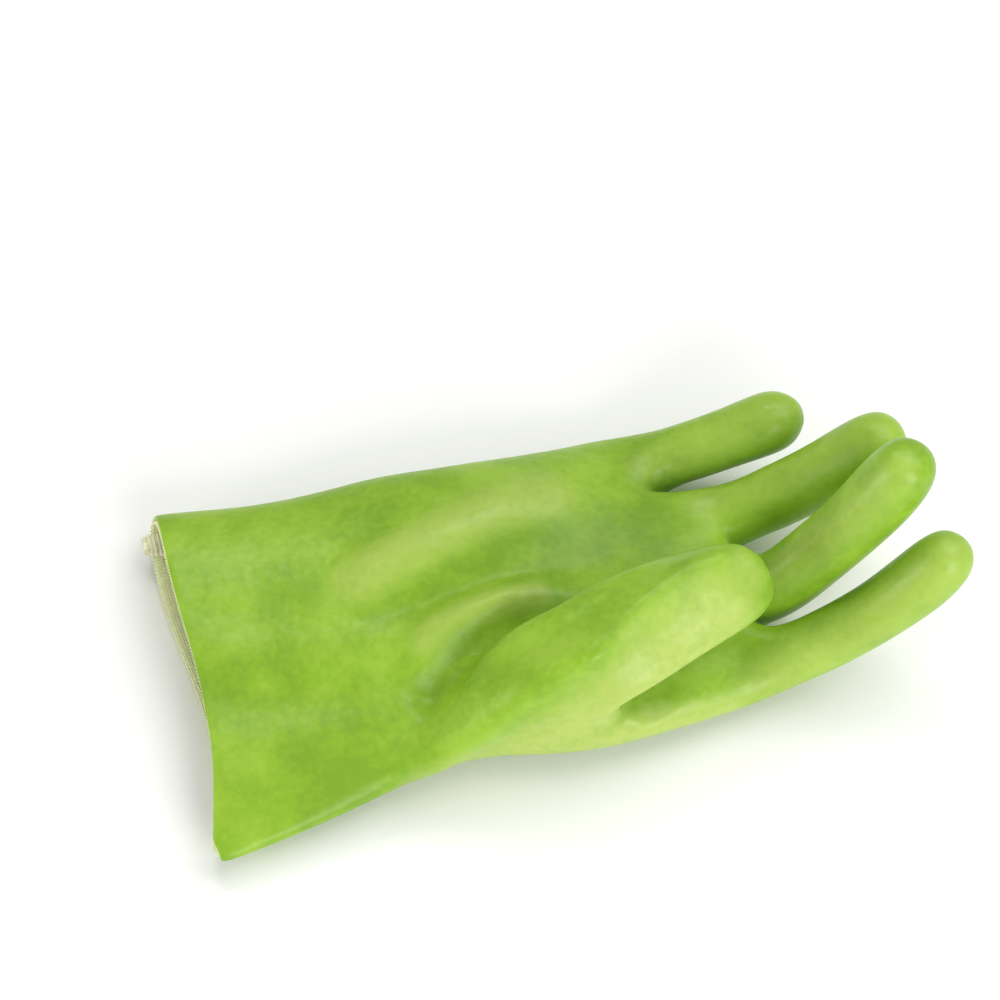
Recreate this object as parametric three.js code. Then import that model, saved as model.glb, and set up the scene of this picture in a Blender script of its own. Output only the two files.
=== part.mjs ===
// A right-hand PVC dipped work glove with a knit lining, lying on its back with the palm up.
// Millimetres. +X runs from the cuff to the fingertips, +Y towards the little finger, +Z up.
import * as THREE from "three";

// Driving sizes of the hand and the cuff
const bodyLength = 182; // cuff edge to the crotch between the ring and the middle finger
const palmWidth = 107; // across the palm at the knuckles
const palmHeight = 34; // the palm at its thickest
const footSink = 0.8; // how far the back of the hand is pressed flat on the surface

// Driving sizes of the layers
const coatWall = 1.5; // PVC with the knit that is bonded into it
const liningWall = 1.1; // loose knit lining behind the cuff
const layerGap = 0.3; // clearance between one layer and the next
const liningDepth = 0.41; // how far in the lining goes, as a share of bodyLength
const seamWidth = 7; // overlocked side seam of the lining, lying flat
const seamHeight = 2.8;
const seamSections = 4; // the first sections of the body, which it runs through
const seamAcross = 0.35; // where it lies, from the outermost towards the next column of the underside
const seamDepth = 4.35; // from the outside of the back to the seam's middle
const seamProud = 3.2; // how far its end stands out of the cuff

// Sections of the cuff and palm from the cuff edge to the knuckles. along is a share of bodyLength,
// far and near are the two sides as shares of palmWidth, high is a share of palmHeight, lean lifts the
// far side of the top over the near side, skew is how far the near side lies ahead of the far side in
// millimetres, and square is the exponent of the section's superellipse.
const bodySections = [
  { along: -0.022, far: 0.585, near: -0.588, high: 0.62, lean: 0.45, skew: -1, square: 2.5 },
  { along: 0.06, far: 0.575, near: -0.575, high: 0.63, lean: 0.4, skew: -2, square: 2.5 },
  { along: 0.15, far: 0.555, near: -0.54, high: 0.67, lean: 0.3, skew: 0, square: 2.4 },
  { along: 0.24, far: 0.545, near: -0.505, high: 0.73, lean: 0.2, skew: 0, square: 2.4 },
  { along: 0.33, far: 0.548, near: -0.465, high: 0.8, lean: 0.15, skew: 0, square: 2.3 },
  { along: 0.41, far: 0.55, near: -0.435, high: 0.87, lean: 0.05, skew: 0, square: 2.4 },
  { along: 0.49, far: 0.538, near: -0.43, high: 0.94, lean: 0, skew: 0, square: 2.4 },
  { along: 0.57, far: 0.528, near: -0.455, high: 0.99, lean: 0, skew: 0, square: 2.4 },
  { along: 0.65, far: 0.52, near: -0.475, high: 1.0, lean: 0, skew: 1, square: 2.4 },
  { along: 0.725, far: 0.525, near: -0.47, high: 0.95, lean: -0.08, skew: 3, square: 2.4 },
  { along: 0.79, far: 0.54, near: -0.45, high: 0.86, lean: -0.15, skew: 8, square: 2.4 },
];
const knuckles = { far: 0.55, near: -0.42, high: 0.74, lean: 0, square: 2.4, setBack: 8 };
const cuffBow = { depth: 9.8, across: -0.3, reach: 0.7 }; // how far the cuff's edge bows in, on its near half
const cuffLip = { depth: 5.5, across: -0.19 }; // how far the upper layer's edge lies back on the far half
const sideColumn = 0.93; // where the top of a section meets its rounded side, as a share of its half width

// Fingers from the little finger to the index. base is where the finger leaves the palm and crotch the
// web on its index side, both as shares of bodyLength, and span is its share of the palm's width. The
// rest is in millimetres: length, wide and thick, and aside from the middle of its span.
const fingers = [
  { base: 0.885, crotch: 0.885, span: 0.235, length: 54.5, wide: 20.5, thick: 20, aside: 0.6 },
  { base: 0.965, crotch: 1.0, span: 0.255, length: 72.5, wide: 22, thick: 20.5, aside: 0.3 },
  { base: 1.005, crotch: 1.0, span: 0.26, length: 85, wide: 22, thick: 22, aside: -4.8 },
  { base: 0.985, crotch: 1.0, span: 0.25, length: 80, wide: 20.5, thick: 20, aside: -1.6 },
];
const fingerLift = 4; // underside of a finger's root above the surface
// Which way each finger points, in degrees: pitch and yaw at its root, and how much more at its tip
const fingerTurns = [
  { pitch: 16, curl: 16, yaw: -1, bend: -4 },
  { pitch: 20, curl: 30, yaw: 0, bend: -2 },
  { pitch: 43, curl: 25, yaw: 0, bend: 9 },
  { pitch: 12, curl: 50, yaw: 2, bend: 7 },
];
// Girth along a finger, as shares of its length and of its width and thickness
const fingerRings = [
  { along: 0.1, girth: 1.0 },
  { along: 0.3, girth: 0.98 },
  { along: 0.52, girth: 0.98 },
  { along: 0.76, girth: 1.03 },
];
// The last sections of a finger, in millimetres from its end
const fingertipRings = [
  { before: 5.5, girth: 0.87 },
  { before: 1.2, girth: 0.45 },
];

// The thumb leaves an opening in the near side of the palm, bends forwards over it and ends in a broad
// flat tip. ahead, aside and above place each section from the thumb's root, as shares of its length;
// wide and thick are shares of its width, pitch and yaw its direction, and roll its turn about it.
const thumb = { length: 78, width: 34, rootAlong: 0.6, rootAcross: -0.3 };
const thumbOpening = { firstBand: 5, bands: 4, farColumn: 7 }; // which cells of the palm it replaces
const thumbWeb = 5; // how far the web under the thumb lies behind its opening's front edge
const thumbRings = [
  { ahead: 0.28, aside: 0.02, above: 0.37, wide: 1.1, thick: 0.52, pitch: 12, yaw: 10, roll: 14 },
  { ahead: 0.51, aside: 0.088, above: 0.385, wide: 1.0, thick: 0.52, pitch: 5, yaw: 14, roll: 22 },
  { ahead: 0.72, aside: 0.14, above: 0.385, wide: 0.86, thick: 0.5, pitch: 1, yaw: 15, roll: 30 },
  { ahead: 0.86, aside: 0.166, above: 0.385, wide: 0.7, thick: 0.43, pitch: 0, yaw: 16, roll: 33 },
  { ahead: 0.93, aside: 0.178, above: 0.385, wide: 0.42, thick: 0.26, pitch: 0, yaw: 16, roll: 34 },
];
const thumbEnd = { ahead: 0.955, aside: 0.182, above: 0.385 };
const thumbSwell = 0.045; // bulge of the ball of the thumb over a straight run, as a share of its length

// Folds pressed in (depth above 0) or raised (below 0) on the upper side of the palm, of the thumb or of
// both. Each runs along a line from one point to the next in shares of bodyLength and palmWidth, with its
// reach to either side and its depth in millimetres.
const folds = [
  { on: "palm", from: [0.44, 0.2], to: [0.72, 0.355], reach: 13, depth: -1.8 }, // mound of the little finger
  { on: "palm", from: [0.39, 0.075], to: [0.58, 0.11], reach: 8, depth: 1.8 }, // valley through the palm
  { on: "palm", from: [0.58, 0.11], to: [0.76, 0.065], reach: 8, depth: 1.8 },
  { on: "palm", from: [0.46, -0.14], to: [0.56, -0.03], reach: 6.5, depth: -2 }, // fold at the thumb
  { on: "palm", from: [0.56, -0.03], to: [0.65, -0.01], reach: 6.5, depth: -2 },
  { on: "palm", from: [0.48, -0.22], to: [0.6, -0.16], reach: 7, depth: 4 }, // pocket beside the thumb
  { on: "palm", from: [0.76, -0.38], to: [0.79, -0.42], reach: 7, depth: 2.5 }, // pocket under the thumb
  { on: "palm", from: [0.03, -0.075], to: [0.25, -0.16], reach: 10, depth: 1.4 }, // valley along the cuff
  { on: "palm", from: [0.25, -0.16], to: [0.47, -0.2], reach: 10, depth: 1.4 },
  { on: "both", from: [0.34, -0.44], to: [0.6, -0.32], reach: 6, depth: -2 }, // crest along the thumb
  { on: "thumb", from: [0.6, -0.32], to: [0.72, -0.3], reach: 6, depth: -2 },
  { on: "thumb", from: [0.72, -0.3], to: [0.97, -0.09], reach: 6, depth: -1.6 },
];

const thumbBand = 1000; // marks the thumb's part of the cage, as Infinity marks the fingers
const columns = columnShares();
const ringSize = 2 * columns.length + 2;
const skin = buildSkin();
const glove = new THREE.Group();
glove.add(coatMesh(), liningMesh(), seamMesh());
standOnFootprint(glove);
export default glove;

// Across positions of the nine top columns, from the little finger's side (1) to the index side (-1)
function columnShares() {
  const edges = [sideColumn];
  for (const finger of fingers) {
    const start = edges[edges.length - 1];
    const width = 2 * sideColumn * finger.span;
    edges.push(start - width / 2, start - width);
  }
  return edges;
}

// One ring of twenty points: far side, nine across the top, near side, nine back along the bottom
function sectionRing(section, alongAt) {
  const far = section.far * palmWidth;
  const near = section.near * palmWidth;
  const middle = (far + near) / 2;
  const half = (far - near) / 2;
  const height = section.high * palmHeight + footSink;
  const point = (share, side, column) => {
    const round = side * Math.pow(1 - Math.pow(Math.abs(share), section.square), 1 / section.square);
    const lift = side > 0 ? 1 + section.lean * share : 1;
    const up = (height / 2) * (1 + lift * round) - footSink;
    return new THREE.Vector3(alongAt(share, column, round), middle + half * share, up);
  };
  const top = columns.map((share, i) => point(share, 1, i));
  const bottom = columns.map((share, i) => point(share, -1, i));
  return [point(1, 0, 0), ...top, point(-1, 0, 8), ...bottom.reverse()];
}

// Where a section of the cuff or palm lies, which is cut straight but for the cuff's own edge
function sectionAlong(section, share, round) {
  const straight = section.along * bodyLength + (section.skew * (1 - share)) / 2;
  if (section !== bodySections[0]) return straight;
  const bow = cuffBow.depth * Math.exp(-(((share - cuffBow.across) / cuffBow.reach) ** 2));
  const lip = (cuffLip.depth * Math.max(0, share - cuffLip.across) * (1 + round)) / 2;
  return straight + bow + lip;
}

// Where the last palm ring lies under each top column, just behind the finger roots
function knuckleAlong(column) {
  const finger = Math.min(Math.floor(column / 2), fingers.length - 1);
  const between = column % 2 === 0 && column > 0 && column < 8;
  const share = between ? fingers[finger - 1].crotch : fingers[finger].base;
  return share * bodyLength - knuckles.setBack;
}

// Unit directions of a section that faces pitch and yaw: forward, towards the far side, and up
function frameAt(pitchDeg, yawDeg, rollDeg = 0) {
  const pitch = THREE.MathUtils.degToRad(pitchDeg);
  const yaw = THREE.MathUtils.degToRad(yawDeg);
  const level = new THREE.Vector3(Math.cos(yaw), Math.sin(yaw), 0).multiplyScalar(Math.cos(pitch));
  const forward = level.setZ(Math.sin(pitch));
  const side = new THREE.Vector3(-Math.sin(yaw), Math.cos(yaw), 0);
  const up = forward.clone().cross(side);
  const roll = THREE.MathUtils.degToRad(rollDeg);
  side.applyAxisAngle(forward, roll);
  up.applyAxisAngle(forward, roll);
  return { forward, side, up };
}

// An oval ring of as many points as its loop, starting on the far side and going over the top
function ovalRing(centre, frame, halfWidth, halfThick, count) {
  return Array.from({ length: count }, (_, i) => {
    const angle = (2 * Math.PI * i) / count;
    return centre
      .clone()
      .addScaledVector(frame.side, halfWidth * Math.cos(angle))
      .addScaledVector(frame.up, halfThick * Math.sin(angle));
  });
}

// The control cage of the whole glove: a tube for the cuff and palm that splits into the fingers,
// with an opening in its near side for the thumb
function buildCage() {
  const cage = { points: [], quads: [], bands: [] };
  const addRing = (ring) => ring.map((p) => cage.points.push(p) - 1);
  const addBand = (lower, upper, band, keep = () => true) => {
    lower.forEach((a, i) => {
      const next = (i + 1) % lower.length;
      if (!keep(i)) return;
      cage.quads.push([a, lower[next], upper[next], upper[i]]);
      cage.bands.push(band);
    });
  };
  const addTip = (ring, tip, band) => {
    const pole = cage.points.push(tip) - 1;
    for (let i = 0; i < ring.length; i += 2) {
      cage.quads.push([pole, ring[i], ring[i + 1], ring[(i + 2) % ring.length]]);
      cage.bands.push(band);
    }
  };

  const rings = bodySections.map((section) =>
    addRing(sectionRing(section, (share, column, round) => sectionAlong(section, share, round))),
  );
  rings.push(addRing(sectionRing(knuckles, (share, column) => knuckleAlong(column))));
  const c = thumbOpening.farColumn;
  const thumbFirst = thumbOpening.firstBand;
  const thumbLast = thumbFirst + thumbOpening.bands;
  for (let band = 0; band < rings.length - 1; band++) {
    const beside = band < thumbFirst || band >= thumbLast;
    addBand(rings[band], rings[band + 1], band, (i) => beside || i < c || i >= 10);
  }

  const last = rings[rings.length - 1];
  const webs = [last[0]];
  fingers.slice(0, -1).forEach((finger, f) => {
    const top = cage.points[last[3 + 2 * f]];
    const bottom = cage.points[last[17 - 2 * f]];
    const web = top.clone().add(bottom).multiplyScalar(0.5);
    web.x = finger.crotch * bodyLength;
    webs.push(cage.points.push(web) - 1);
  });
  webs.push(last[10]);
  fingers.forEach((finger, f) => {
    const top = [1, 2, 3].map((i) => last[i + 2 * f]);
    const bottom = [17, 18, 19].map((i) => last[i - 2 * f]);
    let loop = [webs[f], ...top, webs[f + 1], ...bottom];
    const middle = (cage.points[webs[f]].y + cage.points[webs[f + 1]].y) / 2;
    const height = finger.thick / 2 + fingerLift;
    const root = new THREE.Vector3(finger.base * bodyLength, middle + finger.aside, height);
    const tips = fingertipRings.map((t) => ({ along: 1 - t.before / finger.length, girth: t.girth }));
    for (const station of [...fingerRings, ...tips]) {
      const { centre, frame } = fingerPoint(finger, fingerTurns[f], root, station.along);
      const size = [finger.wide, finger.thick].map((across) => (across * station.girth) / 2);
      const ring = addRing(ovalRing(centre, frame, size[0], size[1], loop.length));
      addBand(loop, ring, Infinity);
      loop = ring;
    }
    addTip(loop, fingerPoint(finger, fingerTurns[f], root, 1).centre, Infinity);
  });

  // the rim of the thumb's opening, from the middle of its far side to the rear and round
  const half = thumbFirst + thumbOpening.bands / 2;
  const opening = rings.slice(thumbFirst, thumbLast + 1);
  let loop = [
    ...rings.slice(thumbFirst, half + 1).map((ring) => ring[c]).reverse(),
    opening[0][c + 1],
    opening[0][c + 2],
    ...opening.map((ring) => ring[10]),
    rings[thumbLast][c + 2],
    rings[thumbLast][c + 1],
    ...rings.slice(half + 1, thumbLast + 1).map((ring) => ring[c]).reverse(),
  ];
  const root = new THREE.Vector3(thumb.rootAlong * bodyLength, thumb.rootAcross * palmWidth, palmHeight / 2);
  const place = ({ ahead, aside, above }) =>
    new THREE.Vector3(ahead, aside, above).multiplyScalar(thumb.length).add(root);
  const ovals = thumbRings.map((s) => {
    const frame = frameAt(s.pitch, s.yaw, s.roll);
    return ovalRing(place(s), frame, (thumb.width * s.wide) / 2, (thumb.width * s.thick) / 2, loop.length);
  });
  // the ball of the thumb, halfway between its opening and the first free section
  const ball = ovals[0].map((p, i) => p.clone().lerp(cage.points[loop[i]], 0.5));
  ball.forEach((p, i) => {
    const rear = 1 - (p.x - root.x) / (thumbRings[0].ahead * thumb.length);
    p.z += thumbSwell * thumb.length * Math.max(0, rear);
    p.x += thumbWeb * Math.min(0, Math.sin((2 * Math.PI * i) / ball.length));
  });
  for (const points of [ball, ...ovals]) {
    const ring = addRing(points);
    addBand(loop, ring, thumbBand);
    loop = ring;
  }
  addTip(loop, place(thumbEnd), thumbBand);
  return cage;
}

// A point on the middle line of a finger, which curls evenly from its root to its tip
function fingerPoint(finger, turn, root, share) {
  const steps = 24;
  const centre = root.clone();
  const turned = (t) => frameAt(turn.pitch + turn.curl * t, turn.yaw + turn.bend * t);
  for (let i = 0; i < steps; i++) {
    const { forward } = turned(((i + 0.5) / steps) * share);
    centre.addScaledVector(forward, (share * finger.length) / steps);
  }
  return { centre, frame: turned(share) };
}

// One step of Catmull-Clark subdivision. The moved cage points stay first, in their own order.
function subdivide({ points, quads, bands }) {
  const count = points.length;
  const edges = new Map();
  const around = points.map(() => ({ faces: [], mids: [], rim: [] }));
  const facePoints = quads.map((q) => average(q.map((i) => points[i])));
  quads.forEach((q, f) =>
    q.forEach((a, k) => {
      const b = q[(k + 1) % 4];
      const key = a < b ? a * count + b : b * count + a;
      if (!edges.has(key)) edges.set(key, { a, b, faces: [], index: 0 });
      edges.get(key).faces.push(f);
      around[a].faces.push(facePoints[f]);
    }),
  );
  const out = { points: [], quads: [], bands: [] };
  for (const edge of edges.values()) {
    const middle = average([points[edge.a], points[edge.b]]);
    for (const end of [edge.a, edge.b]) {
      around[end].mids.push(middle);
      if (edge.faces.length === 1) around[end].rim.push(middle);
    }
    const beside = edge.faces.map((f) => facePoints[f]);
    edge.point = beside.length === 1 ? middle : average([points[edge.a], points[edge.b], ...beside]);
  }
  points.forEach((p, i) => {
    const { faces, mids, rim } = around[i];
    const n = faces.length;
    out.points.push(
      rim.length === 2
        ? average([p, p, rim[0], rim[1]])
        : average(faces).add(average(mids).multiplyScalar(2)).addScaledVector(p, n - 3).divideScalar(n),
    );
  });
  for (const edge of edges.values()) edge.index = out.points.push(edge.point) - 1;
  quads.forEach((q, f) => {
    const centre = out.points.push(facePoints[f]) - 1;
    const edgeOf = (a, b) => edges.get(a < b ? a * count + b : b * count + a).index;
    q.forEach((a, k) => {
      out.quads.push([a, edgeOf(a, q[(k + 1) % 4]), centre, edgeOf(q[(k + 3) % 4], a)]);
      out.bands.push(bands[f]);
    });
  });
  return out;
}

function average(list) {
  return list.reduce((sum, p) => sum.add(p), new THREE.Vector3()).divideScalar(list.length);
}

// The outer skin: the cage is pushed out until the smooth skin passes through its points, then
// the folds are pressed in and the back of the hand is pressed flat on the surface
function buildSkin() {
  const cage = buildCage();
  const targets = cage.points.map((p) => p.clone());
  for (let pass = 0; pass < 6; pass++) {
    const smooth = subdivide(cage).points;
    cage.points.forEach((p, i) => p.add(targets[i]).sub(smooth[i]));
  }
  const made = subdivide(cage);
  made.normals = pointNormals(made);
  const palm = new Set(made.quads.filter((q, f) => made.bands[f] !== thumbBand).flat());
  made.points.forEach((p, i) => foldAt(p, made.normals[i], palm.has(i) ? "palm" : "thumb"));
  for (const p of made.points) p.z = Math.max(p.z, 0);
  made.normals = pointNormals(made);
  return made;
}

// Moves a point down or up by the strongest fold that presses it in and the strongest that raises it
function foldAt(p, normal, side) {
  if (normal.z < 0.2) return;
  const here = new THREE.Vector2(p.x, p.y);
  let pressed = 0;
  let raised = 0;
  for (const fold of folds) {
    if (fold.on !== side && fold.on !== "both") continue;
    const start = new THREE.Vector2(fold.from[0] * bodyLength, fold.from[1] * palmWidth);
    const run = new THREE.Vector2(fold.to[0] * bodyLength, fold.to[1] * palmWidth).sub(start);
    const share = THREE.MathUtils.clamp(here.clone().sub(start).dot(run) / run.lengthSq(), 0, 1);
    const away = here.distanceTo(start.addScaledVector(run, share)) / fold.reach;
    const move = fold.depth * Math.exp(-away * away);
    pressed = Math.max(pressed, move);
    raised = Math.min(raised, move);
  }
  p.z -= pressed + raised;
}

function pointNormals({ points, quads }) {
  const normals = points.map(() => new THREE.Vector3());
  for (const q of quads)
    q.forEach((a, k) => {
      const before = points[q[(k + 3) % 4]].clone().sub(points[a]);
      const after = points[q[(k + 1) % 4]].clone().sub(points[a]);
      const angle = after.angleTo(before);
      normals[a].addScaledVector(after.cross(before).normalize(), angle);
    });
  return normals.map((n) => n.normalize());
}

// A layer of the glove's wall between two depths under the skin, as far in as a band of the cage
function layerGeometry(outerDepth, innerDepth, lastBand) {
  const positions = [];
  const at = (i, depth) => skin.points[i].clone().addScaledVector(skin.normals[i], -depth);
  const push = (...corners) => corners.forEach((p) => positions.push(p.x, p.y, p.z));
  const used = new Map();
  skin.quads.forEach((q, f) => {
    if (skin.bands[f] > lastBand) return;
    const outer = q.map((i) => at(i, outerDepth));
    const inner = q.map((i) => at(i, innerDepth));
    const [p, r, s, t] = q.map((i) => skin.points[i]);
    const start = p.distanceTo(s) < r.distanceTo(t) ? 0 : 1;
    const [a, b, c, d] = [0, 1, 2, 3].map((k) => (k + start) % 4);
    push(outer[a], outer[b], outer[c], outer[a], outer[c], outer[d]);
    push(inner[a], inner[c], inner[b], inner[a], inner[d], inner[c]);
    q.forEach((i, k) => {
      const j = q[(k + 1) % 4];
      const twin = `${j},${i}`;
      if (used.has(twin)) used.delete(twin);
      else used.set(`${i},${j}`, [i, j]);
    });
  });
  for (const [i, j] of used.values()) {
    push(at(i, outerDepth), at(i, innerDepth), at(j, innerDepth));
    push(at(i, outerDepth), at(j, innerDepth), at(j, outerDepth));
  }
  return new THREE.BufferGeometry().setAttribute("position", new THREE.Float32BufferAttribute(positions, 3));
}

function namedMesh(name, geometry, material) {
  geometry.computeVertexNormals();
  const mesh = new THREE.Mesh(geometry, material);
  mesh.name = name;
  return mesh;
}

// The green PVC coat, open at the cuff
function coatMesh() {
  const green = new THREE.MeshStandardMaterial({ color: 0x9ccc3a, roughness: 0.4, metalness: 0 });
  return namedMesh("pvc_coat", layerGeometry(0, coatWall, Infinity), green);
}

// The cream knit lining behind the cuff
function liningMesh() {
  const cream = new THREE.MeshStandardMaterial({ color: 0xe2dfc4, roughness: 0.95, metalness: 0 });
  const depth = coatWall + layerGap;
  const bands = bodySections.filter((s) => s.along <= liningDepth).length - 2;
  return namedMesh("knit_lining", layerGeometry(depth, depth + liningWall, bands), cream);
}

// The lining's side seam, a flat roll inside the cuff beside the fold on the little finger's side. Its
// rounded end stands out of the cuff.
function seamMesh() {
  const cream = new THREE.MeshStandardMaterial({ color: 0xd9d5b4, roughness: 0.95, metalness: 0 });
  const inside = Array.from({ length: seamSections }, (_, n) => {
    const [outer, next] = [ringSize - 1, ringSize - 2].map((i) => n * ringSize + i);
    const foot = skin.points[outer].clone().lerp(skin.points[next], seamAcross);
    const normal = skin.normals[outer].clone().lerp(skin.normals[next], seamAcross).normalize();
    return { at: foot.addScaledVector(normal, -seamDepth), up: normal.negate() };
  });
  const end = inside[0].at.clone().add(new THREE.Vector3(-seamProud, 0, 0));
  const path = new THREE.CatmullRomCurve3([end, ...inside.map((s) => s.at)]);
  const steps = 12;
  const sides = 8;
  const rings = Array.from({ length: steps + 1 }, (_, n) => {
    const share = n / steps;
    const along = path.getTangentAt(share);
    const out = inside[0].up.clone().cross(along).normalize();
    const up = along.clone().cross(out);
    const girth = Math.min(1, 0.6 + n * 0.25, 0.6 + (steps - n) * 0.25);
    return Array.from({ length: sides }, (_, k) => {
      const angle = (2 * Math.PI * k) / sides;
      return path
        .getPointAt(share)
        .addScaledVector(out, (Math.cos(angle) * girth * seamWidth) / 2)
        .addScaledVector(up, (Math.sin(angle) * girth * seamHeight) / 2);
    });
  });
  const positions = [];
  const push = (...corners) => corners.forEach((p) => positions.push(p.x, p.y, p.z));
  for (let n = 0; n < steps; n++)
    for (let k = 0; k < sides; k++) {
      const [a, b] = [rings[n][k], rings[n][(k + 1) % sides]];
      const [c, d] = [rings[n + 1][(k + 1) % sides], rings[n + 1][k]];
      push(a, b, c, a, c, d);
    }
  for (let k = 0; k < sides; k++) {
    push(average(rings[0]), rings[0][(k + 1) % sides], rings[0][k]);
    push(average(rings[steps]), rings[steps][k], rings[steps][(k + 1) % sides]);
  }
  const geometry = new THREE.BufferGeometry();
  geometry.setAttribute("position", new THREE.Float32BufferAttribute(positions, 3));
  return namedMesh("lining_seam", geometry, cream);
}

// Moves the glove so that its origin is under the middle of its box
function standOnFootprint(group) {
  const middle = new THREE.Box3().setFromObject(group).getCenter(new THREE.Vector3());
  group.position.set(-middle.x, -middle.y, 0);
}
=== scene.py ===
import math
import random

import bmesh
import bpy
from mathutils import Matrix, Vector, noise
from mathutils.bvhtree import BVHTree


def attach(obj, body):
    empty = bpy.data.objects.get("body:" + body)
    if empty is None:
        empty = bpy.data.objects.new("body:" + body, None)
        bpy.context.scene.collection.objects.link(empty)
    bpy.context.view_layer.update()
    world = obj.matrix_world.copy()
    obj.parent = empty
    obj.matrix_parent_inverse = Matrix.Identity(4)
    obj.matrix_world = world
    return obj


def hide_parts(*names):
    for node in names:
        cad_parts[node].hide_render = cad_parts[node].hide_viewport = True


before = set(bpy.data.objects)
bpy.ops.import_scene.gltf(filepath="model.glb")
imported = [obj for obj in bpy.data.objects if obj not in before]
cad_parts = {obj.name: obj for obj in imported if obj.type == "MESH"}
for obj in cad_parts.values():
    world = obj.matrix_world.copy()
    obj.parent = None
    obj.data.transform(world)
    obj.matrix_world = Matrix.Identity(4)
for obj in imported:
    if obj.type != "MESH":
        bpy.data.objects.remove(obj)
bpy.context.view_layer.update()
mm = 0.001
random.seed(4)


# colours are written as sRGB hex, as a colour picker shows them
def linear(hexColour):
    parts = [int(hexColour[i : i + 2], 16) / 255 for i in (1, 3, 5)]
    return [p / 12.92 if p <= 0.04045 else ((p + 0.055) / 1.055) ** 2.4 for p in parts] + [1]


def addNode(tree, kind, settings=None, links=None):
    node = tree.nodes.new(kind)
    for name, value in (settings or {}).items():
        if isinstance(name, int) or name in node.inputs:
            node.inputs[name].default_value = value
        else:
            setattr(node, name, value)
    for name, source in (links or {}).items():
        tree.links.new(source, node.inputs[name])
    return node


def newMaterial(name):
    material = bpy.data.materials.new(name)
    material.use_nodes = True
    tree = material.node_tree
    tree.nodes.clear()
    shader = addNode(tree, "ShaderNodeBsdfPrincipled")
    addNode(tree, "ShaderNodeOutputMaterial", links={"Surface": shader.outputs[0]})
    return material, tree, shader


def selectOnly(piece):
    bpy.ops.object.select_all(action="DESELECT")
    piece.select_set(True)
    bpy.context.view_layer.objects.active = piece


# a soft piece starts from the solid that it stands for, with its walls made quads again
def softCopy(node, name):
    piece = bpy.data.objects.new(name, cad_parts[node].data.copy())
    bpy.context.scene.collection.objects.link(piece)
    piece.data.materials.clear()
    selectOnly(piece)
    bpy.ops.object.mode_set(mode="EDIT")
    bpy.ops.mesh.select_all(action="SELECT")
    bpy.ops.mesh.remove_doubles(threshold=0.02 * mm)
    bpy.ops.mesh.tris_convert_to_quads(face_threshold=math.radians(70), shape_threshold=math.radians(70))
    bpy.ops.object.mode_set(mode="OBJECT")
    return piece


def refine(piece, levels):
    selectOnly(piece)
    smooth = piece.modifiers.new("smooth", "SUBSURF")
    smooth.levels = smooth.render_levels = levels
    bpy.ops.object.modifier_apply(modifier=smooth.name)


def searchTree(piece):
    mesh = piece.data
    return BVHTree.FromPolygons([v.co for v in mesh.vertices], [p.vertices for p in mesh.polygons])


# the faces round the cuff's mouth that look out of it
def cutEdgeOf(cloth):
    return {f for f in cloth.faces if f.normal.x < -0.7 and f.calc_center_median().x < -0.1}


def finishPiece(piece, node):
    selectOnly(piece)
    bpy.ops.object.shade_smooth()
    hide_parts(node)
    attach(piece, "root")
    print(piece.name, len(piece.data.polygons), "faces")


glove = {
    "unevenness": 0.16,  # how far the dipped skin wavers, in millimetres
    "pressed": 0.4,  # up to this height it lies flat on the floor and doesn't waver
    "fade": 14,  # over what length a stroke sets in and dies away
    # lumps beside the thumb that are smoothed: place and reach, and how often before and after the strokes
    "calm": [((-41, -28, 29), 9), ((-37, -20, 33), 9), ((-46, -22, 28), 9), ((-29, -18, 38), 7)],
    "calming": 18,
    "softening": 5,
}
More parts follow.
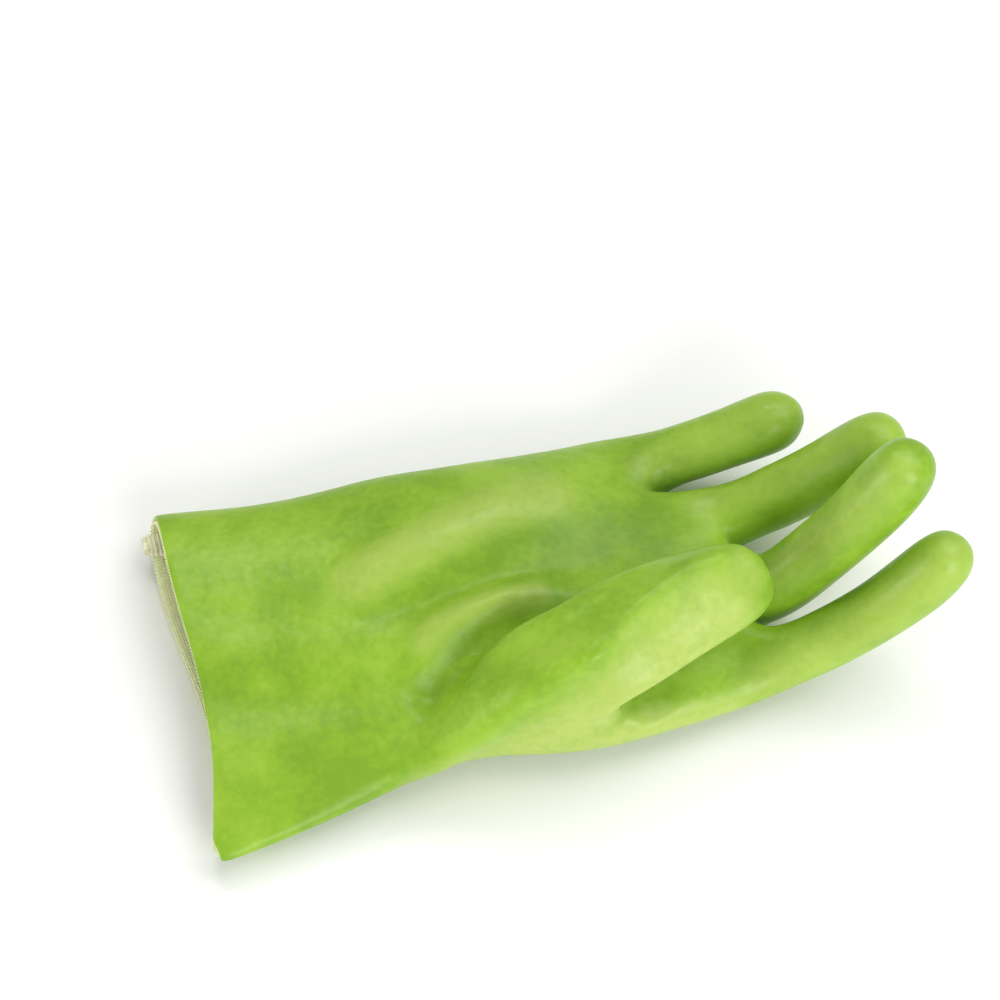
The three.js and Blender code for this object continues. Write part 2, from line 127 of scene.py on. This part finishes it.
# Strokes as of a sculpting brush, which bend the coat and what lies in it alike. Each follows points in
# millimetres and moves what lies within reach by push at its middle. Peak 1 leaves a crest or a crease
# and 2 a round swell or dent, and fade is the stroke's own in place of the glove's.
strokes = [
    {"name": "crest of the thumb", "reach": 11, "push": (0, -0.2, 3.2), "peak": 1.6, "path": [
        (-63.8, -50, 15.4), (-51.3, -44.8, 20), (-39.9, -42.2, 26.9), (-28.6, -38.1, 36.2), (-17.5, -37.4, 44.4),
        (-8.3, -36.2, 49), (2.7, -36.7, 52.3), (9.8, -34.3, 55.4), (16, -30.1, 57), (26.5, -23.8, 58.2),
        (37, -19.3, 58.8), (47, -15.6, 58.6), (55, -14.2, 56.9)]},
    {"name": "edge of the ball of the thumb", "reach": 9, "push": (0, -3, 2.4), "peak": 1.5, "path": [
        (-60, -50, 11), (-46.9, -45.9, 16), (-34, -44, 25.5), (-21.1, -40.5, 38), (-8.4, -38.5, 46.5), (4, -37, 51.5),
        (14, -33, 55)]},
    {"name": "scoop under the crest", "reach": 10, "push": (0, 0.8, -1), "peak": 2, "path": [
        (-14, -46, 36), (0, -46, 42), (12, -42, 46), (26, -37, 50), (40, -31, 51)]},
    {"name": "fold at the thumb's root", "reach": 9, "push": (0, 0, 2.6), "peak": 2, "path": [
        (-52, -17, 26), (-45.9, -12.6, 27.5), (-42.5, -9.9, 29.2), (-35.8, -5.6, 31.4), (-24.2, -3.4, 34.1),
        (-14.8, -2.8, 35.3), (-7.5, -3.4, 35.5), (-1.7, -6, 34.8)]},
    {"name": "pocket beside the thumb", "reach": 12, "push": (0, 0, -6), "peak": 2, "path": [
        (-54, -31, 23), (-48, -28, 25), (-41, -25, 29), (-36.6, -23.5, 33.2), (-28.3, -18, 38), (-16, -14, 40),
        (-4, -12, 42), (8, -10, 40)]},
    {"name": "bottom of the pocket", "reach": 9, "push": (0, 0.3, -4), "peak": 2, "fade": 7, "path": [
        (-52, -29, 24), (-45, -27, 26.5), (-40, -25, 30), (-36, -22.6, 34), (-29, -19, 38)]},
    {"name": "lip of the pocket", "reach": 6, "push": (-0.4, 1.1, 1.8), "peak": 1.7, "fade": 9, "path": [
        (-46, -34.5, 24.5), (-40, -31.9, 29.5), (-34.8, -30, 33.8), (-30.8, -27.4, 37.4), (-25.9, -25.2, 41.3),
        (-19, -23.5, 46)]},
    {"name": "valley of the palm", "reach": 9, "push": (0, 0, -1.5), "peak": 2, "path": [
        (-66, 4, 26), (-60.5, 4.2, 26.9), (-49.2, 4.5, 28), (-37.8, 3.8, 30.2), (-22.5, 4.8, 32.4), (-3.9, 3, 34.4),
        (7.4, 2.9, 32.4), (21.5, 3.4, 29.3)]},
    {"name": "mound of the little finger", "reach": 17, "push": (0, 0, 2), "peak": 2, "path": [
        (-68, 12, 26), (-63.5, 14, 26.9), (-52.3, 16.6, 28.6), (-31.7, 23.8, 32.9), (-10, 28.4, 34.4),
        (7.6, 29.9, 32.6), (16, 31, 31)]},
    {"name": "fullness along the cuff", "reach": 12, "push": (0, 0, 0.5), "peak": 2, "path": [
        (-118, 1, 20.5), (-109.5, -0.2, 20.8), (-95.5, -2.6, 21.7), (-76.9, -5.8, 23.8), (-58.8, -11.6, 25.5)]},
    {"name": "upper dip along the cuff", "reach": 11, "push": (0, 0, -0.45), "peak": 2, "path": [
        (-118, 21, 22), (-112.5, 19.6, 22.4), (-98.9, 14.5, 23), (-79.8, 13.1, 24.8), (-74, 13, 25)]},
    {"name": "lower dip along the cuff", "reach": 11, "push": (0, 0, -0.6), "peak": 2, "path": [
        (-117, -16, 19), (-110.9, -16.9, 19.2), (-92, -18, 20.4), (-70.1, -20.3, 22.8), (-62, -21, 23.5)]},
    {"name": "crotch of the thumb", "reach": 9, "push": (0, 3, -1.8), "peak": 2, "fade": 7, "path": [
        (14, -44.5, 23.6), (17.9, -43.1, 23.8), (21.6, -41.3, 24.6), (27, -39.5, 26), (32, -37, 27)]},
    {"name": "swell before the thumb", "reach": 9, "push": (0, -1, 0.8), "peak": 2, "fade": 8, "path": [
        (-1.4, -50.3, 18.2), (6.4, -49.4, 20.2), (16.2, -48.1, 20.4), (29.6, -46, 19.7)]},
    {"name": "rounded corner of the cuff", "reach": 8, "push": (2.6, 0.6, 0), "peak": 2, "fade": 0, "path": [
        (-122, -62, 4), (-122, -62, 10)]},
]
# Painted highlights: the coat is painted paler where light falls brightest, within reach of each path. Depth 1 is
# palest.
paintedHighlights = [
    {"name": "ball of the thumb", "reach": 17, "depth": 1, "path": [
        (-50, -54, 5), (-25, -52, 14), (-9.4, -50, 24), (3, -48.5, 33.7), (15.5, -47.7, 44), (29.6, -40.2, 47.5),
        (44, -32.6, 49.2)]},
    {"name": "pad of the thumb", "reach": 11, "depth": 0.5, "path": [
        (17.3, -38.5, 52.4), (31.7, -30.3, 54.3), (45.6, -24.7, 54.9), (54.4, -21.2, 54.9)]},
    {"name": "edge below the thumb", "reach": 9, "depth": 1, "path": [
        (-8, -51, 14), (6.4, -49.4, 18), (16.2, -49, 18), (29.6, -47, 15), (46, -45, 12)]},
    {"name": "mound of the palm", "reach": 12, "depth": 0.65, "path": [
        (-60, 17, 27), (-52.3, 19, 28.6), (-31.7, 25, 32.9), (-10, 30, 34.4), (5, 32, 32.6)]},
    {"name": "fold at the thumb", "reach": 7, "depth": 0.55, "path": [
        (-44, -10, 29), (-35.8, -5.6, 31.4), (-24.2, -3.4, 34.1), (-7.5, -3.4, 35.5)]},
    {"name": "middle finger", "reach": 8, "depth": 0.45, "path": [
        (69.2, -12.1, 36.4), (80.9, -11.9, 50.8), (91.9, -13.1, 67.6), (103.4, -10.9, 84)]},
    {"name": "index finger", "reach": 14, "depth": 0.5, "path": [
        (58, -44, 17), (66.6, -40, 23), (82.3, -39, 29), (97.6, -37, 41), (109.4, -35, 55.2), (117.6, -32, 61)]},
    {"name": "little finger", "reach": 12, "depth": 0.35, "path": [
        (40, 39.4, 22.9), (53.4, 40.3, 26.3), (68.1, 41.2, 34.1), (81.2, 42.3, 40.3)]},
    {"name": "ring finger", "reach": 10, "depth": 0.3, "path": [
        (52.8, 24, 24.9), (68.2, 21.1, 30.8), (84, 21.3, 40.6), (98.8, 19.7, 53.5), (108.1, 19.6, 57.7)]},
]
for stroke in strokes + paintedHighlights:
    path = stroke["path"] = [Vector(point) for point in stroke["path"]]
    margin = Vector((stroke["reach"],) * 3)
    stroke["low"] = Vector(map(min, *path)) - margin
    stroke["high"] = Vector(map(max, *path)) + margin
    stroke["length"] = sum((b - a).length for a, b in zip(path, path[1:]))
print("strokes:", ", ".join(stroke["name"] for stroke in strokes))
# the places where highlights are painted on
print("thin places:", ", ".join(place["name"] for place in paintedHighlights))


# how far a point is from a path and how far along it, both in millimetres
def fromPath(point, path):
    nearest, along, passed = 1e9, 0, 0
    for a, b in zip(path, path[1:]):
        run = b - a
        share = max(0.0, min(1.0, (point - a).dot(run) / run.length_squared))
        away = (point - a - run * share).length
        if away < nearest:
            nearest, along = away, passed + run.length * share
        passed += run.length
    return nearest, along


# where a point in millimetres ends up under the strokes
def bent(point):
    move = Vector()
    for stroke in strokes:
        low, high = stroke["low"], stroke["high"]
        if any(point[k] < low[k] or point[k] > high[k] for k in range(3)):
            continue
        away, along = fromPath(point, stroke["path"])
        if away >= stroke["reach"]:
            continue
        fade = stroke.get("fade", glove["fade"])
        strength = min(1, along / fade, (stroke["length"] - along) / fade) if fade else 1
        strength *= strength * (3 - 2 * strength)
        move += Vector(stroke["push"]) * strength * (1 - (away / stroke["reach"]) ** stroke["peak"]) ** 2
    if point.z > glove["pressed"]:
        waver = noise.noise(point / 7) * 0.7 + noise.noise(point / 3.4 + Vector((9, 2, 5))) * 0.3
        move.z += waver * glove["unevenness"] * min(1, (point.z - glove["pressed"]) / 3)
    return point + move


def bendPiece(piece):
    selectOnly(piece)
    bpy.ops.object.mode_set(mode="EDIT")
    bpy.ops.mesh.select_mode(type="VERT")
    bpy.ops.mesh.select_all(action="DESELECT")
    bpy.ops.object.mode_set(mode="OBJECT")
    for vertex in piece.data.vertices:
        point = vertex.co / mm
        vertex.select = any((point - Vector(place)).length < reach for place, reach in glove["calm"])
    bpy.ops.object.mode_set(mode="EDIT")
    bpy.ops.mesh.vertices_smooth(factor=0.5, repeat=glove["calming"])
    bpy.ops.object.mode_set(mode="OBJECT")
    for vertex in piece.data.vertices:
        vertex.co = bent(vertex.co / mm) * mm
    bpy.ops.object.mode_set(mode="EDIT")
    bpy.ops.mesh.vertices_smooth(factor=0.5, repeat=glove["softening"])
    bpy.ops.object.mode_set(mode="OBJECT")


# how much painted highlight makes the coat paler at a point in millimetres
def paintedHighlightAt(point):
    most = 0
    for place in paintedHighlights:
        if all(place["low"][k] < point[k] < place["high"][k] for k in range(3)):
            away = min(1, fromPath(point, place["path"])[0] / place["reach"])
            most = max(most, place["depth"] * (1 - away ** 3) ** 2)
    return most


coat = {
    "levels": 2,
    "green": "#84ab2a",
    "deepGreen": "#769e26",
    "paleGreen": "#92b738",
    # painted highlight: the paler colour that stands for light falling brightest on the coat
    "paintedHighlight": "#aabf5e",
    "knit": "#c9cba0",  # what shows of the cloth on the cut edge and inside
    "skinOfEdge": 0.55,  # how much of the cut edge is green skin, the rest is cloth
    "roughness": 0.34,
    "gloss": 0.27,
    # patterns, as waves to the metre
    "patches": 38.0,  # changes of tone about 26 mm across
    "specks": 420.0,  # and 2.4 mm across
    "pebbles": 330.0,  # 3 mm across, coarser than the 1 mm stitches under the coat, which wouldn't show
}


# PVC dipped on a knit: a satin skin that lets a little light in and shows the cloth as faint pebbles,
# with the bare cloth on its inside and most of its cut edge
def dippedPvc():
    material, tree, shader = newMaterial("dippedPvc")
    place = addNode(tree, "ShaderNodeTexCoord").outputs["Object"]
    patches = addNode(tree, "ShaderNodeTexNoise", {"Scale": coat["patches"], "Detail": 3.0, "Roughness": 0.6},
                      {"Vector": place})
    specks = addNode(tree, "ShaderNodeTexNoise", {"Scale": coat["specks"], "Detail": 2.0}, {"Vector": place})
    tone = addNode(tree, "ShaderNodeMath", {"operation": "MULTIPLY_ADD", 1: 0.3},
                   {0: specks.outputs[0], 2: patches.outputs[0]})
    ramp = addNode(tree, "ShaderNodeValToRGB", links={0: tone.outputs[0]})
    stops = ramp.color_ramp.elements
    stops[0].position, stops[0].color = 0.5, linear(coat["deepGreen"])
    stops[1].position, stops[1].color = 0.84, linear(coat["paleGreen"])
    stops.new(0.66).color = linear(coat["green"])
    # painted highlights: a paler colour is mixed in where light falls brightest, broken up by blotches as large as
    # the pebbles
    paintedHighlight = addNode(tree, "ShaderNodeAttribute", {"attribute_name": "paintedHighlight"}).outputs["Fac"]
    blotches = addNode(tree, "ShaderNodeTexNoise", {"Scale": coat["pebbles"], "Detail": 1.0}, {"Vector": place})
    broken = addNode(tree, "ShaderNodeMath", {"operation": "MULTIPLY_ADD", 1: 0.9, 2: 0.5},
                     {0: blotches.outputs[0]})
    highlightAmount = addNode(tree, "ShaderNodeMath", {"operation": "MULTIPLY", "use_clamp": True},
                       {0: broken.outputs[0], 1: paintedHighlight})
    highlightedColour = addNode(tree, "ShaderNodeMix", {"data_type": "RGBA", 7: linear(coat["paintedHighlight"])},
                   {0: highlightAmount.outputs[0], 6: ramp.outputs[0]})
    hollow = addNode(tree, "ShaderNodeAttribute", {"attribute_name": "hollow"}).outputs["Fac"]
    bare = addNode(tree, "ShaderNodeMath", {"operation": "GREATER_THAN", 1: coat["skinOfEdge"]},
                   {0: hollow}).outputs[0]
    both = addNode(tree, "ShaderNodeMix", {"data_type": "RGBA", 7: linear(coat["knit"])},
                   {0: bare, 6: highlightedColour.outputs[2]})
    tree.links.new(both.outputs[2], shader.inputs["Base Color"])
    matt = addNode(tree, "ShaderNodeMath", {"operation": "MULTIPLY_ADD", 1: 0.9 - coat["roughness"],
                                            2: coat["roughness"]}, {0: bare})
    tree.links.new(matt.outputs[0], shader.inputs["Roughness"])
    shader.inputs["Specular IOR Level"].default_value = coat["gloss"]
    shader.inputs["Subsurface Weight"].default_value = 0.2
    shader.inputs["Subsurface Radius"].default_value = (0.6, 1.0, 0.15)
    shader.inputs["Subsurface Scale"].default_value = 3 * mm
    pebbles = addNode(tree, "ShaderNodeTexNoise", {"Scale": coat["pebbles"], "Detail": 0.6, "Roughness": 0.5},
                      {"Vector": place})
    bump = addNode(tree, "ShaderNodeBump", {"Strength": 0.5, "Distance": 0.4 * mm}, {"Height": pebbles.outputs[0]})
    tree.links.new(bump.outputs[0], shader.inputs["Normal"])
    return material


# 1 on the walls that face the hollow and 0 on the outer skin, so that the cut edge runs from 0 to 1
def markHollow(piece):
    cloth = bmesh.new()
    cloth.from_mesh(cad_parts["knit_lining"].data)
    lining = BVHTree.FromBMesh(cloth)
    skin = bmesh.new()
    skin.from_mesh(piece.data)
    cutEdge = cutEdgeOf(skin)
    start = min(skin.faces, key=lambda f: lining.find_nearest(f.calc_center_median())[3])
    hollow = {start}
    front = [start]
    while front:
        around = {f for edge in front.pop().edges for f in edge.link_faces} - hollow - cutEdge
        hollow |= around
        front += around
    layer = skin.verts.layers.float.new("hollow")
    for face in hollow:
        for vertex in face.verts:
            vertex[layer] = 1
    skin.to_mesh(piece.data)
    print("hollow", len(hollow), "of", len(skin.faces), "faces, cut edge", len(cutEdge))


def makeCoat():
    piece = softCopy("pvc_coat", "dipped_coat")
    markHollow(piece)
    refine(piece, coat["levels"])
    # how much painted highlight each point takes, kept on the mesh
    paintedHighlight = piece.data.attributes.new("paintedHighlight", "FLOAT", "POINT")
    for vertex in piece.data.vertices:
        paintedHighlight.data[vertex.index].value = paintedHighlightAt(vertex.co / mm)
    bendPiece(piece)
    piece.data.materials.append(dippedPvc())
    finishPiece(piece, "pvc_coat")


sleeve = {
    "levels": 2,
    "cream": "#eef2c0",
    "stitch": 1.15,  # width of a stitch, in millimetres
    "course": 0.92,  # height of a row of stitches
    "courses": 9,  # rows of stitches, counted in from the cut edge
    "yarn": 0.27,  # half the thickness of the yarn
    "lean": (22, 30),  # how far the legs of a stitch spread, in degrees
}


# cotton: matt, with a soft pale edge from its fuzz and a little unevenness along the yarn, every 1.4 mm
def cottonYarn(name, colour):
    material, tree, shader = newMaterial(name)
    place = addNode(tree, "ShaderNodeTexCoord").outputs["Object"]
    mottle = addNode(tree, "ShaderNodeTexNoise", {"Scale": 700.0, "Detail": 2.0}, {"Vector": place})
    shade = addNode(tree, "ShaderNodeHueSaturation", {"Color": linear(colour)})
    value = addNode(tree, "ShaderNodeMapRange", {"To Min": 0.82, "To Max": 1.1}, {"Value": mottle.outputs[0]})
    tree.links.new(value.outputs[0], shade.inputs["Value"])
    tree.links.new(shade.outputs[0], shader.inputs["Base Color"])
    shader.inputs["Roughness"].default_value = 0.9
    shader.inputs["Sheen Weight"].default_value = 0.25
    bump = addNode(tree, "ShaderNodeBump", {"Strength": 0.5, "Distance": 0.3 * mm}, {"Height": mottle.outputs[0]})
    tree.links.new(bump.outputs[0], shader.inputs["Normal"])
    return material


# the leg of a stitch, a spindle of yarn along y
def yarnLeg(length, radius, sides=5):
    rings = [(-0.5, 0.45), (-0.22, 1), (0.22, 1), (0.5, 0.45)]
    turns = [2 * math.pi * k / sides for k in range(sides)]
    points = [Vector((radius * wide * math.cos(t), length * y, radius * wide * math.sin(t)))
              for y, wide in rings for t in turns]
    bands = [(k * sides + i, k * sides + (i + 1) % sides, (k + 1) * sides + (i + 1) % sides, (k + 1) * sides + i)
             for k in range(len(rings) - 1) for i in range(sides)]
    last = len(points) - sides
    return points, bands + [tuple(reversed(range(sides))), tuple(range(last, last + sides))]


# rings of points on the inner side of the lining, the first on its cut edge
def sleeveRings(piece, count):
    cloth = bmesh.new()
    cloth.from_mesh(piece.data)
    cutEdge = cutEdgeOf(cloth)
    seen = {v for f in cutEdge for v in f.verts}
    middle = sum((v.co for v in seen), Vector()) / len(seen)

    def facesInward(v):
        return sum((f.normal for f in v.link_faces if f not in cutEdge), Vector()).dot(middle - v.co) > 0

    def near(v):
        return [e.other_vert(v) for e in v.link_edges]

    inner = {v for v in seen if facesInward(v)}
    ring = [min(inner, key=lambda v: v.co.y)]
    while ring[-1]:
        ring.append(next((v for v in near(ring[-1]) if v in inner and v not in ring), None))
    ring.pop()
    rings = []
    for _ in range(count):
        rings.append([v.co / mm for v in ring])
        ring = [min((w for w in near(v) if w not in seen), key=lambda w: (w.co - v.co).length) for v in ring]
        seen.update(ring)
    print("cuff ring", len(rings[0]), "points")
    return rings


def knitStitches(piece, rings):
    tree = searchTree(piece)
    columns = list(zip(*rings))
    gaps = [(a[0] - b[0]).length for a, b in zip(columns, columns[1:] + columns[:1])]
    count = round(sum(gaps) / sleeve["stitch"])

    # the point at a share of the way round and so many millimetres in
    def clothPoint(share, depth):
        left = share % 1 * sum(gaps)
        column = 0
        while left > gaps[column]:
            left -= gaps[column]
            column += 1
        ends = []
        for points in (columns[column], columns[(column + 1) % len(columns)]):
            rest = depth
            for a, b in zip(points, points[1:]):
                if rest <= (b - a).length:
                    break
                rest -= (b - a).length
            ends.append(a.lerp(b, rest / (b - a).length))
        return bent(ends[0].lerp(ends[1], left / gaps[column]))

    leg, faces = yarnLeg(sleeve["course"] * 1.5, sleeve["yarn"])
    points, allFaces = [], []
    for row in range(sleeve["courses"]):
        depth = (row + 0.35) * sleeve["course"]
        sink = max(0, row - sleeve["courses"] + 4) * 0.09  # the last rows sink into the smooth lining
        for k in range(count):
            here = clothPoint(k / count, depth)
            on, normal = tree.find_nearest(here * mm)[:2]
            forward = (clothPoint(k / count, depth + 0.5) - here).normalized()
            side = normal.cross(forward).normalized()
            for way in (-1, 1):
                lean = math.radians(random.uniform(*sleeve["lean"])) * way
                along = forward * math.cos(lean) + side * math.sin(lean)
                across = along.cross(normal)
                centre = on / mm + side * way * 0.24 * sleeve["stitch"] + normal * (0.1 - sink)
                turn = Matrix((across, along, normal)).transposed()
                start = len(points)
                points += [(centre + turn @ p) * mm for p in leg]
                allFaces += [tuple(start + i for i in face) for face in faces]
    mesh = bpy.data.meshes.new("knit_stitches")
    mesh.from_pydata(points, [], allFaces)
    stitches = bpy.data.objects.new("knit_stitches", mesh)
    bpy.context.scene.collection.objects.link(stitches)
    print("knit", count, "stitches round,", sleeve["courses"], "courses")
    return stitches


# a part joined without a material would stay grey, so each takes the piece's first
def joinTo(piece, parts):
    selectOnly(piece)
    for part in parts:
        part.data.materials.clear()
        part.data.materials.append(piece.data.materials[0])
        part.select_set(True)
    bpy.ops.object.join()


def makeLining():
    piece = softCopy("knit_lining", "knit_sleeve")
    rings = sleeveRings(piece, 4)
    refine(piece, sleeve["levels"])
    bendPiece(piece)
    piece.data.materials.append(cottonYarn("cottonKnit", sleeve["cream"]))
    joinTo(piece, [knitStitches(piece, rings)])
    finishPiece(piece, "knit_lining")


seam = {
    "levels": 2,
    "colour": "#ecebc8",
    "middle": [(-125.2, 52.1, 7.7), (-118, 51.8, 7.7), (-101, 50.2, 7.95), (-85, 48.8, 8.4), (-77.2, 48.4, 8.55)],
    "blunt": -121.8,  # from here the wraps draw in over its end, which is 3.6 mm away
    "endLength": 3.6,
    "loose": -115,  # from here it comes loose over 6 mm, and is thicker by swell and moved by lift
    "looseLength": 6,
    "swell": 0.35,
    "lift": Vector((0.8, 1.4, 1.0)),
    "pitch": 0.74,  # from one wrap of the yarn to the next, in millimetres
    "wrapPoints": 14,  # points of the yarn in one wrap
    "yarn": 0.31,  # half the thickness of the yarn
    "ends": 22,  # frayed ends of yarn
}


def yarnCurve(name, strands, radius):
    curve = bpy.data.curves.new(name, "CURVE")
    curve.dimensions = "3D"
    curve.bevel_depth = radius * mm
    curve.bevel_resolution = 1
    for points, width in strands:
        spline = curve.splines.new("POLY")
        spline.points.add(len(points) - 1)
        for spot, point in zip(spline.points, points):
            spot.co = (*(point * mm), 1)
            spot.radius = width
    piece = bpy.data.objects.new(name, curve)
    bpy.context.scene.collection.objects.link(piece)
    selectOnly(piece)
    bpy.ops.object.convert(target="MESH")
    return bpy.context.object


def makeSeam():
    piece = softCopy("lining_seam", "overlocked_seam")
    refine(piece, seam["levels"])
    bendPiece(piece)
    middle = [Vector(point) for point in seam["middle"]]
    length = sum((b - a).length for a, b in zip(middle, middle[1:]))

    # where a point of the seam in millimetres ends up when its end is loose
    def loosened(point):
        share = max(0, min(1, (seam["loose"] - point.x) / seam["looseLength"]))
        share *= share * (3 - 2 * share)
        core = Vector((point.x, middle[0].y, middle[0].z))
        return point + ((point - core) * seam["swell"] + seam["lift"]) * share

    for vertex in piece.data.vertices:
        vertex.co = loosened(vertex.co / mm) * mm
    tree = searchTree(piece)

    # the seam's middle, so many millimetres from its end
    def middleAt(passed):
        for a, b in zip(middle, middle[1:]):
            if passed <= (b - a).length:
                break
            passed -= (b - a).length
        return a.lerp(b, min(1, passed / (b - a).length))

    wraps = []
    steps = round(length / seam["pitch"] * seam["wrapPoints"])
    for k in range(steps):
        centre = middleAt(length * k / steps)
        inside = loosened(bent(Vector((max(centre.x, seam["blunt"]), centre.y, centre.z))))
        turn = 2 * math.pi * k / seam["wrapPoints"]
        out = Vector((0.12 * math.sin(turn * 0.5 + 1), math.cos(turn), math.sin(turn))).normalized()
        hit = tree.ray_cast(inside * mm, out)[0]
        if hit is None:
            continue
        slack = 0.2 + 0.45 * noise.noise(Vector((k * 0.09, 3, 1)))
        wide = math.sqrt(1 - 0.8 * max(0, (seam["blunt"] - centre.x) / seam["endLength"]) ** 2)
        wraps.append(loosened(bent(centre)) + (hit / mm - inside) * wide + out * slack)
    strands = [(wraps, 1)]
    for k in range(seam["ends"]):
        point = loosened(bent(middle[0])) + Vector((1.2, random.uniform(-3, 3), random.uniform(-1.2, 1.3)))
        heading = Vector((-1, random.uniform(-0.6, 0.6), random.uniform(-0.4, 0.5)))
        curl = Vector((0, random.uniform(-0.5, 0.5), random.uniform(-0.4, 0.3)))
        strand = [point.copy()]
        for _ in range(5):
            heading += curl
            point += heading.normalized() * random.uniform(0.3, 0.6)
            strand.append(point.copy())
        strands.append((strand, random.uniform(0.35, 0.7)))
    piece.data.materials.append(cottonYarn("overlockYarn", seam["colour"]))
    joinTo(piece, [yarnCurve("seam_yarn", strands, seam["yarn"])])
    finishPiece(piece, "lining_seam")


studio = {
    "floor": "#f2f2f0",
    "sky": 0.45,
    "lamps": [
        {"name": "window", "place": (0.3, -1.0, 0.5), "size": 0.7, "watts": 9.2},
        {"name": "back window", "place": (-0.05, 0.75, 1.1), "size": 0.36, "watts": 3.0},
        {"name": "ceiling", "place": (0.52, 0.2, 0.88), "size": 0.8, "watts": 5.6},
        {"name": "side window", "place": (-0.85, -0.1, 0.14), "size": 0.4, "watts": 3.2},
    ],
    "cameraPlace": (-0.1214, -0.4865, 0.9526),
    "cameraTarget": (-0.0070, 0.0515, 0.0),
    "lens": 120,
}


def aim(thing, place, target):
    thing.location = place
    thing.rotation_euler = (Vector(target) - Vector(place)).to_track_quat("-Z", "Y").to_euler()


def makeStudio():
    # matt white card, which keeps the shadows soft and grey
    bpy.ops.mesh.primitive_plane_add(size=6, location=(0, 0, 0))
    floor = bpy.context.object
    floor.name = "pale_floor"
    material, tree, shader = newMaterial("paleCard")
    shader.inputs["Base Color"].default_value = linear(studio["floor"])
    shader.inputs["Roughness"].default_value = 0.9
    floor.data.materials.append(material)

    world = bpy.data.worlds.new("sky")
    bpy.context.scene.world = world
    world.use_nodes = True
    world.node_tree.nodes["Background"].inputs["Color"].default_value = (1, 1, 1, 1)
    world.node_tree.nodes["Background"].inputs["Strength"].default_value = studio["sky"]
    for lamp in studio["lamps"]:
        light = bpy.data.lights.new(lamp["name"], "AREA")
        light.size = lamp["size"]
        light.energy = lamp["watts"]
        lampObject = bpy.data.objects.new(lamp["name"], light)
        bpy.context.scene.collection.objects.link(lampObject)
        aim(lampObject, lamp["place"], (0, 0, 0.02))

    camera = bpy.data.objects.new("camera", bpy.data.cameras.new("camera"))
    bpy.context.scene.collection.objects.link(camera)
    camera.data.lens = studio["lens"]
    aim(camera, studio["cameraPlace"], studio["cameraTarget"])
    bpy.context.scene.camera = camera
    bpy.context.scene.view_settings.view_transform = "Standard"
    print("studio ready")


makeStudio()
makeCoat()
makeLining()
makeSeam()
